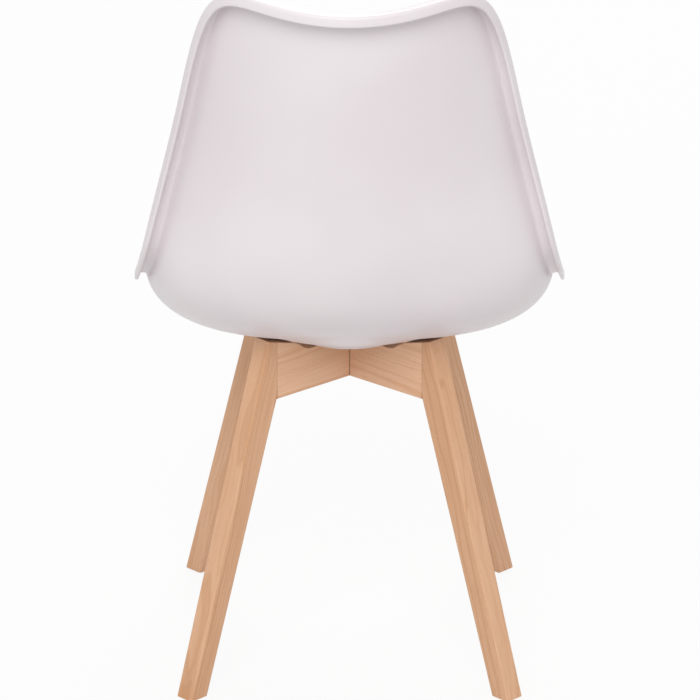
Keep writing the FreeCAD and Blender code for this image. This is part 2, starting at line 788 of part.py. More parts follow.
def brim_wire(across, hang, root=None):
    """Ring in the brim; across from its root, hang away from the sitter."""
    points = []
    for angle in ANGLES:
        here, away, normal = frame_at(1.0, angle)
        wide = between("brim_seat", "brim_back", ((math.sin(angle) + 1) / 2 - 0.45) / 0.35)
        if root is not None:
            radius, turn = root
            radius = size("brim_root") + radius
            offset = away * (radius * math.sin(turn))
            offset += normal * (size("brim_root") - radius * math.cos(turn))
            points.append(here + offset)
            continue
        ahead = away * math.cos(roll) + normal * math.sin(roll)
        down = away * -math.sin(roll) + normal * math.cos(roll)
        start = here + (away * math.sin(roll) + normal * (1 - math.cos(roll))) * size("brim_root")
        points.append(start + ahead * (wide * across[0] + across[1]) + down * hang)
    points[0].x = points[-1].x = 0.0
    return ring_wire(points)


RINGS = (0.0, 0.05, 0.10, 0.16, 0.22, 0.29, 0.37, 0.46, 0.56, 0.66, 0.76, 0.85, 0.93, 1.0)
outer_wires = [skin_wire(ring, 0.0) for ring in RINGS]
inner_wires = [skin_wire(ring, wall) for ring in RINGS]

cove = [outer_wires[-1]]
for part in (0.35, 0.7, 1.0):
    cove.append(brim_wire(None, 0, (0.0, roll * part)))
under = [cove[-1], brim_wire((0.5, 0.0), 0.0), brim_wire((1.0, 0.0), 0.0)]
draw = size("lip_draw")
lip_inside = [under[-1], brim_wire((1.0, draw), hang)]
lip_end = [lip_inside[-1]]
for part in (30, 60, 90, 120, 150):
    a = math.radians(part)
    mid = (draw + wall) / 2 - math.cos(a) * (wall - draw) / 2
    lip_end.append(brim_wire((1.0, mid), hang + math.sin(a) * size("lip_round")))
lip_end.append(brim_wire((1.0, wall), hang))
edge_round = size("edge_round")
lip_outside = [lip_end[-1], brim_wire((1.0, wall), edge_round - wall)]
lip_top = [lip_outside[-1]]
for part in (22.5, 45, 67.5, 90):
    a = math.radians(part)
    lip_top.append(brim_wire((1.0, wall - edge_round + math.cos(a) * edge_round),
                             edge_round - wall - math.sin(a) * edge_round))
deck = [lip_top[-1], brim_wire((0.4, 0.0), -wall), brim_wire((0.0, 0.0), -wall)]
shoulder = [deck[-1]]
for part in (0.75, 0.5, 0.25):
    shoulder.append(brim_wire(None, 0, (wall, roll * part)))
shoulder.append(inner_wires[-1])

faces = []
for wires, straight in (
        (outer_wires, False), (cove, False), (under, True), (lip_inside, True), (lip_end, False),
        (lip_outside, True), (lip_top, False), (deck, True), (shoulder, False), (inner_wires, False)):
    faces += Part.makeLoft(wires, False, straight).Faces
faces.append(Part.Face(outer_wires[0]))
faces.append(Part.Face(inner_wires[0]))
sewn = Part.makeCompound(faces)
sewn.sewShape(0.01)
shell_solid = Part.Solid(sewn.Shells[0] if sewn.Shells else Part.Shell(faces))
if shell_solid.Volume < 0:
    shell_solid.reverse()
skin_obj = doc.addObject("Part::Feature", "ShellSkin")
skin_obj.Shape = shell_solid
print("skin", shell_solid.isValid(), round(shell_solid.Volume / 1000), "cm3", len(shell_solid.Faces))

# Ring wall, bosses and ribs under the shell, all inside the flat of the belly.
ring_outer = rod("RingOuter", "<ring_radius>", "<belly_height> + 1 - <ring_height>",
                 ("", "", "<ring_height>"))
ring_inner = rod("RingInner", "<ring_radius> - <ring_wall>", "40", ("", "", "<ring_height> - 10"))
ring_wall = cut("RingWall", ring_outer, [ring_inner])
under_parts = [skin_obj, ring_wall]
insert_holes = []
for place, turn in LEGS:
    key = place.title().replace("_", "")
    boss = rod("Boss" + key, "<boss_radius>", "<belly_height> + 1 - <boss_height>",
               ("<bolt_reach> * cos(%d)" % turn, "<bolt_reach> * sin(%d)" % turn, "<boss_height>"))
    hole = rod("InsertHole" + key, "<insert_hole_radius>", "<insert_top> + 0.3 - <boss_height>",
               ("<bolt_reach> * cos(%d)" % turn, "<bolt_reach> * sin(%d)" % turn, "<boss_height>"))
    seat = rod("InsertSeat" + key, "<insert_flange_radius> + 0.1", "<insert_flange_thick> + 1",
               ("<bolt_reach> * cos(%d)" % turn, "<bolt_reach> * sin(%d)" % turn, "<boss_height> - 1"))
    under_parts.append(boss)
    insert_holes += [hole, seat]
for number, turn in enumerate((0, 90)):
    rib = doc.addObject("Part::Box", "Rib%s" % "AB"[number])
    bind(rib, "Length", "2 * <ring_radius> - <ring_wall>")
    bind(rib, "Width", "<rib_thick>")
    bind(rib, "Height", "<belly_height> + 1 - <rib_height>")
    rib.Placement = Placement(Vector(0, 0, 0), Rotation(Vector(0, 0, 1), turn))
    if turn == 0:
        bind(rib, ".Placement.Base.x", "-<ring_radius> + <ring_wall> / 2")
        bind(rib, ".Placement.Base.y", "-<rib_thick> / 2")
    else:
        bind(rib, ".Placement.Base.x", "<rib_thick> / 2")
        bind(rib, ".Placement.Base.y", "-<ring_radius> + <ring_wall> / 2")
    bind(rib, ".Placement.Base.z", "<rib_height>")
    under_parts.append(rib)
node(cut("Shell", fuse("ShellSolid", under_parts), insert_holes), "seat_shell")


# Seat pad: lies in the bowl, crowned, with a soft edge.
def pad_ring(share, lift, bulge=0.0):
    """A ring of the pad, lifted over the seat; the middle of its top is level."""
    points = []
    top = size("belly_height") + wall + size("pad_gap") + size("pad_crown")
    for angle in ANGLES:
        c, s = math.cos(angle), math.sin(angle)
        far = size("pad_front_share") if s < 0 else size("pad_back_share")
        wide = size("pad_side_share")
        power = 2 + 1.6 * share ** 2
        full = 1 / ((abs(c) / wide) ** power + (abs(s) / far) ** power) ** (1 / power)
        start = circle_reach(c, s) * LEVEL_SHARE
        reach = start + (full - start) * share
        here, normal = sheet_frame(reach * c, reach * s)
        low = here - normal * (wall + size("pad_gap"))
        if lift == 0.0:
            points.append(low)
            continue
        outward = Vector(low.x, low.y, 0).normalize()
        high = low + Vector(0, 0, lift) + outward * bulge
        if bulge == 0.0:
            level = 1 - ease((share - 0.03) / 0.82)
            high.z = high.z * (1 - level) + top * level
        points.append(high)
    points[0].x = points[-1].x = 0.0
    return ring_wire(points)


PAD_RINGS = (0.0, 0.07, 0.14, 0.22, 0.31, 0.41, 0.53, 0.67, 0.83, 1.0)
pad_low = [pad_ring(share, 0.0) for share in PAD_RINGS]
pad_top = []
for share in PAD_RINGS:
    lift = size("pad_edge") + (size("pad_crown") - size("pad_edge")) * (1 - share ** 2)
    pad_top.append(pad_ring(share, lift))
pad_side = [pad_low[-1], pad_ring(1.0, size("pad_edge") * 0.25, size("pad_bulge") * 0.8),
            pad_ring(1.0, size("pad_edge") * 0.55, size("pad_bulge")),
            pad_ring(1.0, size("pad_edge") * 0.85, size("pad_bulge") * 0.6), pad_top[-1]]
pad_faces = []
for wires in (pad_low, pad_side, pad_top):
    pad_faces += Part.makeLoft(wires, False, False).Faces
pad_faces.append(Part.Face(pad_low[0]))
pad_faces.append(Part.Face(pad_top[0]))
pad_sewn = Part.makeCompound(pad_faces)
pad_sewn.sewShape(0.01)
pad_solid = Part.Solid(pad_sewn.Shells[0])
if pad_solid.Volume < 0:
    pad_solid.reverse()
pad_obj = doc.addObject("Part::Feature", "SeatPad")
pad_obj.Shape = pad_solid
print("pad", pad_solid.isValid(), round(pad_solid.Volume / 1000), "cm3")
node(pad_obj, "seat_pad")

doc.recompute()
faults = []
for obj in doc.Objects:
    if "Invalid" in obj.State or "Error" in obj.State:
        faults.append(obj.Name + " " + ",".join(obj.State))
os.makedirs("parts", exist_ok=True)
whole = FreeCAD.BoundBox()
for obj in NODES:
    shape = obj.Shape
    if shape.isNull() or not shape.isValid():
        faults.append(obj.Label + " has no sound shape")
        continue
    shape.exportStep("parts/%s.step" % obj.Label)
    whole.add(shape.BoundBox)
    print("%-20s solids %d  volume %9.1f mm3" % (obj.Label, len(shape.Solids), shape.Volume))
print("box", whole)
if faults:
    raise RuntimeError("; ".join(faults))
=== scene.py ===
import bpy
import bmesh
import math
from mathutils import Matrix, Vector
from mathutils.bvhtree import BVHTree


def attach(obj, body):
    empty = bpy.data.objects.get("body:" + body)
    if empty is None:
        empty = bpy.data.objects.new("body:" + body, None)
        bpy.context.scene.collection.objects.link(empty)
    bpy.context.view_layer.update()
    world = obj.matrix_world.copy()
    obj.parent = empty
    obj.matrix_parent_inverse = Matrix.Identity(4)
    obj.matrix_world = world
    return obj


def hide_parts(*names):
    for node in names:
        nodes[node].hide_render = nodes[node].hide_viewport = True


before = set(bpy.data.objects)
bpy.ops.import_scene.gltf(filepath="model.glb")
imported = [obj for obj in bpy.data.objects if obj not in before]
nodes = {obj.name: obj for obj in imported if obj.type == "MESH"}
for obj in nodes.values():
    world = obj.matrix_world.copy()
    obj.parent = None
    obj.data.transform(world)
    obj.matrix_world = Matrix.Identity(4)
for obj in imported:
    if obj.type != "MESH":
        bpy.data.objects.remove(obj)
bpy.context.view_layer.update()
scene = bpy.context.scene
mm = 0.001

# Camera: behind the chair and above it, with a long lens
cameraSizes = {
    "side": -0.5 * mm,  # sets the chair's middle half a pixel off the picture's
    "behind": 5.657,
    "height": 2.602,
    "pitch": 21.79,  # degrees down
    "lens": 279.3,
    "sensor": 36.0,
}


def addCamera():
    data = bpy.data.cameras.new("RearCamera")
    data.sensor_width = cameraSizes["sensor"]
    data.lens = cameraSizes["lens"]
    data.clip_end = 60
    camera = bpy.data.objects.new("RearCamera", data)
    camera.location = (cameraSizes["side"], cameraSizes["behind"], cameraSizes["height"])
    camera.rotation_euler = (math.radians(90 - cameraSizes["pitch"]), 0, math.pi)
    scene.collection.objects.link(camera)
    scene.camera = camera


addCamera()
print("camera set")


# Node helpers
def tone(code):
    # a screen colour such as d8ced2 as the plain light it stands for
    parts = [int(code[i:i + 2], 16) / 255 for i in (0, 2, 4)]
    return tuple(p / 12.92 if p <= 0.04045 else ((p + 0.055) / 1.055) ** 2.4 for p in parts) + (1,)


def addNode(tree, kind, inputs=None, **settings):
    made = tree.nodes.new("ShaderNode" + kind)
    for key, value in settings.items():
        setattr(made, key, value)
    for key, value in (inputs or {}).items():
        if isinstance(value, bpy.types.NodeSocket):
            tree.links.new(value, made.inputs[key])
        else:
            made.inputs[key].default_value = value
    return made


def compute(tree, operation, *values):
    made = addNode(tree, "Math", dict(enumerate(values)), operation=operation)
    return made.outputs[0]


def mixTones(tree, share, first, second):
    made = addNode(tree, "Mix", {0: share, 6: first, 7: second}, data_type="RGBA")
    return made.outputs[2]


def spread(tree, value, low, high, toLow=0.0, toHigh=1.0):
    # eases a value from low..high to toLow..toHigh
    made = addNode(tree, "MapRange", {"Value": value, "From Min": low, "From Max": high,
                                      "To Min": toLow, "To Max": toHigh},
                   interpolation_type="SMOOTHSTEP")
    return made.outputs["Result"]


def noise(tree, vector, scale, detail=3.0, rough=0.5):
    made = addNode(tree, "TexNoise", {"Vector": vector, "Scale": scale, "Detail": detail,
                                      "Roughness": rough})
    return made.outputs["Fac"]


def stretched(tree, vector, along, across, depth):
    made = addNode(tree, "VectorMath", {0: vector, 1: (along, across, depth)}, operation="MULTIPLY")
    return made.outputs[0]


def newGroup(name, inputs, outputs):
    group = bpy.data.node_groups.new(name, "ShaderNodeTree")
    for label, kind, value in inputs:
        socket = group.interface.new_socket(name=label, in_out="INPUT",
                                            socket_type="NodeSocket" + kind)
        if value is not None:
            socket.default_value = value
    for label, kind in outputs:
        group.interface.new_socket(name=label, in_out="OUTPUT", socket_type="NodeSocket" + kind)
    return group, group.nodes.new("NodeGroupInput"), group.nodes.new("NodeGroupOutput")


def placeGroup(tree, group, inputs):
    made = tree.nodes.new("ShaderNodeGroup")
    made.node_tree = group
    for key, value in inputs.items():
        if isinstance(value, bpy.types.NodeSocket):
            tree.links.new(value, made.inputs[key])
        else:
            made.inputs[key].default_value = value
    return made


def newMaterial(name, **settings):
    material = bpy.data.materials.new(name)
    material.use_nodes = True
    shader = material.node_tree.nodes["Principled BSDF"]
    for key, value in settings.items():
        shader.inputs[key].default_value = value
    return material, material.node_tree, shader


def join(tree, shader, colour=None, rough=None, height=None, depth=0.1 * mm, strength=1.0):
    if colour is not None:
        tree.links.new(colour, shader.inputs["Base Color"])
    if rough is not None:
        tree.links.new(rough, shader.inputs["Roughness"])
    if height is not None:
        bump = addNode(tree, "Bump", {"Height": height, "Distance": depth, "Strength": strength})
        tree.links.new(bump.outputs["Normal"], shader.inputs["Normal"])


# Effects that several materials share
def makeBeechGroup():
    # grain of a board whose length lies along X
    group, entry, leave = newGroup("Beech grain", [
        ("Vector", "Vector", None), ("Light", "Color", tone("e0b491")),
        ("Dark", "Color", tone("c08a60")), ("Pore", "Color", tone("8f623e")),
        ("Ring width", "Float", 3.2 * mm),
        ("Pith across", "Float", 40 * mm), ("Pith deep", "Float", 25 * mm)],
        [("Color", "Color"), ("Roughness", "Float"), ("Height", "Float")])
    place = entry.outputs["Vector"]
    # growth rings of uneven width round a pith that lies outside the board
    pith = addNode(group, "CombineXYZ", {"Y": entry.outputs["Pith across"],
                                         "Z": entry.outputs["Pith deep"]})
    fromPith = addNode(group, "VectorMath", {0: place, 1: pith.outputs[0]}, operation="ADD")
    waver = noise(group, stretched(group, place, 4.0, 24.0, 24.0), 1.0, 2.0)
    parts = addNode(group, "SeparateXYZ", {0: fromPith.outputs[0]})
    reach = compute(group, "SQRT", compute(
        group, "ADD", compute(group, "POWER", parts.outputs[1], 2.0),
        compute(group, "POWER", parts.outputs[2], 2.0)))
    drift = compute(group, "MULTIPLY", compute(group, "SUBTRACT", waver, 0.5), 26 * mm)
    count = compute(group, "DIVIDE", compute(group, "ADD", reach, drift),
                    entry.outputs["Ring width"])
    bands = addNode(group, "TexNoise", {"W": count, "Scale": 1.0, "Detail": 3.0, "Roughness": 0.6},
                    noise_dimensions="1D").outputs["Fac"]
    # fibres, broad clouds along the board and the short dark flecks of beech
    fibre = noise(group, stretched(group, place, 20.0, 1100.0, 1100.0), 1.0, 4.0, 0.65)
    cloud = noise(group, stretched(group, place, 3.0, 40.0, 40.0), 1.0, 3.0)
    fleck = noise(group, stretched(group, place, 300.0, 1900.0, 1900.0), 1.0, 1.0)
    flecks = spread(group, fleck, 0.66, 0.76)
    tint = mixTones(group, spread(group, bands, 0.42, 0.72, 0.0, 0.55), entry.outputs["Light"],
                    entry.outputs["Dark"])
    tint = mixTones(group, spread(group, fibre, 0.35, 0.75, 0.0, 0.40), tint, entry.outputs["Dark"])
    tint = mixTones(group, spread(group, cloud, 0.32, 0.70, 0.0, 0.30), tint, entry.outputs["Dark"])
    tint = mixTones(group, compute(group, "MULTIPLY", flecks, 0.42), tint, entry.outputs["Pore"])
    rough = spread(group, fibre, 0.25, 0.75, 0.42, 0.56)
    height = compute(group, "SUBTRACT", compute(group, "MULTIPLY", fibre, 0.5), flecks)
    for name, value in (("Color", tint), ("Roughness", rough), ("Height", height)):
        group.links.new(value, leave.inputs[name])
    return group


def makeScuffGroup():
    # fine rubbed scratches and a soft uneven gloss
    group, entry, leave = newGroup("Fine scuffs", [
        ("Vector", "Vector", None), ("Scale", "Float", 40.0), ("Amount", "Float", 0.5)],
        [("Scratches", "Float"), ("Gloss", "Float")])
    place = entry.outputs["Vector"]
    marks = None
    for turn, long in ((0.5, 1.0), (1.9, 0.8), (2.8, 1.2)):
        turned = addNode(group, "Mapping", {"Vector": place, "Rotation": (turn, turn * 0.6, turn)})
        line = noise(group, stretched(group, turned.outputs[0], long, 22.0, 22.0),
                     entry.outputs["Scale"], 2.0)
        mark = spread(group, line, 0.70, 0.76)
        marks = mark if marks is None else compute(group, "MAXIMUM", marks, mark)
    patch = spread(group, noise(group, place, 9.0, 2.0), 0.35, 0.7)
    marks = compute(group, "MULTIPLY", compute(group, "MULTIPLY", marks, patch),
                    entry.outputs["Amount"])
    gloss = noise(group, place, 16.0, 3.0)
    group.links.new(marks, leave.inputs["Scratches"])
    group.links.new(gloss, leave.inputs["Gloss"])
    return group


def makeJointGroup():
    # dark line where two boards meet, at a reach along X on either side
    group, entry, leave = newGroup("Joint line", [
        ("Vector", "Vector", None), ("Reach", "Float", 0.1), ("Width", "Float", 0.5 * mm)],
        [("Line", "Float")])
    parts = addNode(group, "SeparateXYZ", {0: entry.outputs["Vector"]})
    away = compute(group, "ABSOLUTE", compute(
        group, "SUBTRACT", compute(group, "ABSOLUTE", parts.outputs[0]), entry.outputs["Reach"]))
    line = spread(group, compute(group, "DIVIDE", away, entry.outputs["Width"]), 1.0, 0.3)
    group.links.new(line, leave.inputs["Line"])
    return group


beechGroup = makeBeechGroup()
scuffGroup = makeScuffGroup()
jointGroup = makeJointGroup()

# Shell, in millimetres, with its front towards +Y until it is placed
shellSizes = {
    "rearShift": 13.8, "wall": 4.5, "lipStart": 260.0, "lipLevel": 438.3, "spineLength": 836.0,
    "bellyHeight": 384.5, "bellyRadius": 74.0, "bellyBlend": 58.0, "levelShare": 0.985,
    "brimRoot": 4.0, "brimBack": 9.5, "brimSeat": 2.0, "brimRoll": 80.0, "brimHang": 6.0,
    "lipRound": 1.8, "edgeRound": 3.6, "lipDraw": 0.4, "topDip": 13.6,
    "cornerBack": 7.4, "cornerFront": 4.2,
    "leans": (-4.0, -16.0, -15.5, -3.0, 10.0, 36.5, 74.0, 84.8, 85.3),
    "leanShares": (0.0, 0.1, 0.2, 0.3, 0.4, 0.5, 0.6, 0.7, 1.0),
    "halfWidths": (189.3, 223.6, 219.4, 196.9, 171.8, 153.4),
    "rises": (12.0, 47.2, 73.6, 87.4, 83.8, 81.5),
    "tilts": (-2.0, 78.0), "arcs": (85.0, 62.0), "bowls": (1.42, 1.0),
    "shares": (0.0, 0.25, 0.45, 0.62, 0.80, 1.0),
    "alongShares": (0.315, 0.30, 0.185, 0.20),  # of the spine, for 1, along, its square and its cube
    "dipFrom": 0.6, "dipSpan": 0.4, "tiltFrom": 0.05, "tiltSpan": 0.95,
    "backFrom": 0.40, "backSpan": 0.45, "cornerFrom": -0.3, "cornerSpan": 1.1,
    "brimFrom": 0.45, "brimSpan": 0.35,
    "halfAngles": 104, "rings": 44, "turnWeight": 45.0,
    "ringRadius": 68.0, "ringWall": 3.0, "ringHeight": 374.0,
    "bossRadius": 9.0, "bossHeight": 372.0, "boltReach": 57.0,
    "flangeRadius": 6.1, "flangeTall": 2.5,
    "ribThick": 2.4, "ribHeight": 376.0, "flare": 2.0, "flareEdge": 0.4, "lowRound": 0.6, "sunk": 0.5,
}


def naturalCurve(xs, ys):
    n = len(xs)
    gap = [xs[i + 1] - xs[i] for i in range(n - 1)]
    mid, right, bend = [1.0] * n, [0.0] * n, [0.0] * n
    high = [0.0] * n
    for i in range(1, n - 1):
        high[i] = gap[i]
        mid[i] = 2 * (gap[i - 1] + gap[i]) - gap[i - 1] / mid[i - 1] * high[i - 1]
        pull = 6 * ((ys[i + 1] - ys[i]) / gap[i] - (ys[i] - ys[i - 1]) / gap[i - 1])
        right[i] = pull - gap[i - 1] / mid[i - 1] * right[i - 1]
    for i in range(n - 2, 0, -1):
        bend[i] = (right[i] - high[i] * bend[i + 1]) / mid[i]

    def at(x):
        i = 0
        while i < n - 2 and x > xs[i + 1]:
            i += 1
        a = (xs[i + 1] - x) / gap[i]
        b = 1 - a
        curve = ((a ** 3 - a) * bend[i] + (b ** 3 - b) * bend[i + 1]) * gap[i] ** 2 / 6
        return a * ys[i] + b * ys[i + 1] + curve

    return at


def levelCurve(xs, ys):
    # a curve through the values that never swings past them
    n = len(xs)
    rate = [(ys[i + 1] - ys[i]) / (xs[i + 1] - xs[i]) for i in range(n - 1)]
    slope = [rate[0]] + [0.0] * (n - 2) + [rate[-1]]
    for i in range(1, n - 1):
        a, b = rate[i - 1], rate[i]
        if a * b > 0:
            p, q = xs[i] - xs[i - 1], xs[i + 1] - xs[i]
            slope[i] = 3 * (p + q) / ((2 * q + p) / a + (q + 2 * p) / b)

    def at(x):
        i = 0
        while i < n - 2 and x > xs[i + 1]:
            i += 1
        wide = xs[i + 1] - xs[i]
        t = (x - xs[i]) / wide
        value = ys[i] * (1 + 2 * t) * (1 - t) ** 2 + ys[i + 1] * t * t * (3 - 2 * t)
        return value + wide * (slope[i] * t * (1 - t) ** 2 - slope[i + 1] * t * t * (1 - t))

    return at


def ease(t):
    t = min(max(t, 0.0), 1.0)
    return t * t * t * (t * (6 * t - 15) + 10)


def between(pair, t):
    # eases from a pair's first size to its second as t goes from 0 to 1
    first, second = shellSizes[pair]
    return first + (second - first) * ease(t)


tiny = 1e-12
slopeStep = 1e-3  # of side and along, for slopes of the skin
halfWidth = naturalCurve(shellSizes["shares"], shellSizes["halfWidths"])
sideRise = naturalCurve(shellSizes["shares"], shellSizes["rises"])
lean = levelCurve(shellSizes["leanShares"], [math.radians(a) for a in shellSizes["leans"]])
spineSteps = 600
spineStep = shellSizes["spineLength"] / spineSteps
spine = [(shellSizes["lipStart"], shellSizes["lipLevel"])]
for i in range(spineSteps):
    angle = lean((i + 0.5) / spineSteps)
    y, z = spine[-1]
    spine.append((y - math.cos(angle) * spineStep, z + math.sin(angle) * spineStep))


def spineAt(share):
    place = share * spineSteps
    i = min(max(int(place), 0), spineSteps - 1)
    rest = (place - i) * spineStep
    angle = lean((i + (place - i) / 2) / spineSteps)
    y, z = spine[i]
    return y - math.cos(angle) * rest, z + math.sin(angle) * rest


def sheetPoint(side, along):
    # outer skin; side runs across and along from front to top, both from -1 to 1
    s = shellSizes
    middle, first, second, third = s["alongShares"]
    share = middle + first * along + second * along ** 2 + third * along ** 3
    dip = s["topDip"] / s["spineLength"]
    share -= dip * ease((share - s["dipFrom"]) / s["dipSpan"]) * (1 - side ** 2) ** 2
    y, z = spineAt(share)
    tilt = math.radians(between("tilts", (share - s["tiltFrom"]) / s["tiltSpan"]))
    back = (share - s["backFrom"]) / s["backSpan"]
    sweep = math.radians(between("arcs", back))
    x = halfWidth(share) * math.sin(side * sweep) / math.sin(sweep)
    bowl = max((1 - math.cos(side * sweep)) / (1 - math.cos(sweep)), tiny) ** between("bowls", back)
    rise = sideRise(share) * bowl
    y, z = y + rise * math.sin(tilt), z + rise * math.cos(tilt)
    blend = ease((math.hypot(x, y) - s["bellyRadius"]) / s["bellyBlend"])
    return Vector((x, y, z * blend + s["bellyHeight"] * (1 - blend)))


def sheetFrame(side, along):
    # point of the outer skin and its unit normal, away from the sitter
    step = slopeStep
    across = sheetPoint(side + step, along) - sheetPoint(side - step, along)
    upward = sheetPoint(side, along + step) - sheetPoint(side, along - step)
    return sheetPoint(side, along), across.cross(upward).normalized()


circleReach = {}
halvings = 30


def ringPlace(ring, angle):
    # rings run from 0 at the level circle under the seat to 1 at the rim
    s = shellSizes
    c, n = math.cos(angle), math.sin(angle)
    if angle not in circleReach:
        low, high = 0.0, 0.6
        for halving in range(halvings):
            middle = (low + high) / 2
            point = sheetPoint(middle * c, middle * n)
            if math.hypot(point.x, point.y) > s["bellyRadius"] * s["levelShare"]:
                high = middle
            else:
                low = middle
        circleReach[angle] = low
    front, back = s["cornerFront"], s["cornerBack"]
    power = front + (back - front) * ease((n - s["cornerFrom"]) / s["cornerSpan"])
    full = 1 / (abs(c) ** power + abs(n) ** power) ** (1 / power)
    reach = circleReach[angle] + (full - circleReach[angle]) * ring
    return reach * c, reach * n


def rimAngles(number):
    # angles from the front round to the back, closer together where the rim turns
    fine = 720
    points = [sheetPoint(*ringPlace(1.0, -math.pi / 2 + math.pi * i / fine))
              for i in range(fine + 1)]
    total = [0.0]
    for i in range(1, fine + 1):
        step = points[i] - points[i - 1]
        turn = step.angle(points[i + 1] - points[i]) if i < fine else 0.0
        total.append(total[-1] + step.length + shellSizes["turnWeight"] * turn)
    picked, low = [], 0
    for k in range(number + 1):
        want = total[-1] * k / number
        while low < fine - 1 and total[low + 1] < want:
            low += 1
        part = (want - total[low]) / (total[low + 1] - total[low])
        picked.append(-math.pi / 2 + math.pi * (low + part) / fine)
    return picked


rimTurns = rimAngles(shellSizes["halfAngles"])


def wholeLoop(half):
    # closes a half ring with its mirror and stands it in the chair, in metres
    half[0].x = half[-1].x = 0.0
    other = [Vector((-p.x, p.y, p.z)) for p in reversed(half[1:-1])]
    return [Vector((p.x, shellSizes["rearShift"] - p.y, p.z)) * mm for p in half + other]


def ringEdges(mesh, ring):
    return [mesh.edges.get((ring[i - 1], ring[i])) for i in range(len(ring))]


def growLoops(mesh, loops):
    # a capped first circle, then one extrusion for each further loop and a cap on the last
    made = bmesh.ops.create_circle(mesh, segments=len(loops[0]), radius=1.0, cap_ends=True)
    ring = made["verts"]
    for vertex, point in zip(ring, loops[0]):
        vertex.co = point
    for loop in loops[1:]:
        grown = bmesh.ops.extrude_edge_only(mesh, edges=ringEdges(mesh, ring))
        fresh = {v for v in grown["geom"] if isinstance(v, bmesh.types.BMVert)}
        following = []
        for vertex, point in zip(ring, loop):
            partner = next(e.other_vert(vertex) for e in vertex.link_edges
                           if e.other_vert(vertex) in fresh)
            partner.co = point
            following.append(partner)
        ring = following
    bmesh.ops.edgeloop_fill(mesh, edges=ringEdges(mesh, ring))


def finishPiece(name, mesh, material, sharpAngle=40.0):
    # edges that turn by more than the sharp angle, in degrees, stay sharp
    bmesh.ops.recalc_face_normals(mesh, faces=mesh.faces)
    data = bpy.data.meshes.new(name)
    for face in mesh.faces:
        face.smooth = True
    for edge in mesh.edges:
        if len(edge.link_faces) == 2 and edge.calc_face_angle() > math.radians(sharpAngle):
            edge.smooth = False
    mesh.to_mesh(data)
    mesh.free()
    piece = bpy.data.objects.new(name, data)
    scene.collection.objects.link(piece)
    data.materials.append(material)
    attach(piece, "root")
    return piece


# Satin moulded plastic
plasticLook = {
    "colour": "e8e1e3", "deep": "e1d9dc", "rough": 0.34, "peelScale": 620.0, "peelDepth": 0.03 * mm,
}


def makeShellPlastic():
    material, tree, shader = newMaterial("Shell plastic", **{"Specular IOR Level": 0.42})
    place = addNode(tree, "TexCoord").outputs["Object"]
    scuffs = placeGroup(tree, scuffGroup, {"Vector": place, "Scale": 34.0, "Amount": 0.5})
    flow = noise(tree, place, 5.0, 2.0)
    colour = mixTones(tree, spread(tree, flow, 0.3, 0.7), tone(plasticLook["colour"]),
                      tone(plasticLook["deep"]))
    uneven = spread(tree, scuffs.outputs["Gloss"], 0.25, 0.75, plasticLook["rough"] - 0.05,
                    plasticLook["rough"] + 0.06)
    rough = compute(tree, "ADD", uneven, compute(tree, "MULTIPLY", scuffs.outputs["Scratches"], 0.14))
    peel = noise(tree, place, plasticLook["peelScale"], 2.0)
    height = compute(tree, "SUBTRACT", peel, scuffs.outputs["Scratches"])
    join(tree, shader, colour, rough, height, plasticLook["peelDepth"])
    return material


shellPlastic = makeShellPlastic()


def brimLoop(frames, across, hang, cove=None):
    # across from the brim's root and hang away from the sitter, or a cove's radius and turn
    roll, root = math.radians(shellSizes["brimRoll"]), shellSizes["brimRoot"]
    half = []
    for here, away, normal, wide in frames:
        if cove is not None:
            radius, turn = root + cove[0], cove[1]
            half.append(here + away * (radius * math.sin(turn))
                        + normal * (root - radius * math.cos(turn)))
            continue
        ahead = away * math.cos(roll) + normal * math.sin(roll)
        down = away * -math.sin(roll) + normal * math.cos(roll)
        start = here + (away * math.sin(roll) + normal * (1 - math.cos(roll))) * root
        half.append(start + ahead * (wide * across[0] + across[1]) + down * hang)
    return wholeLoop(half)


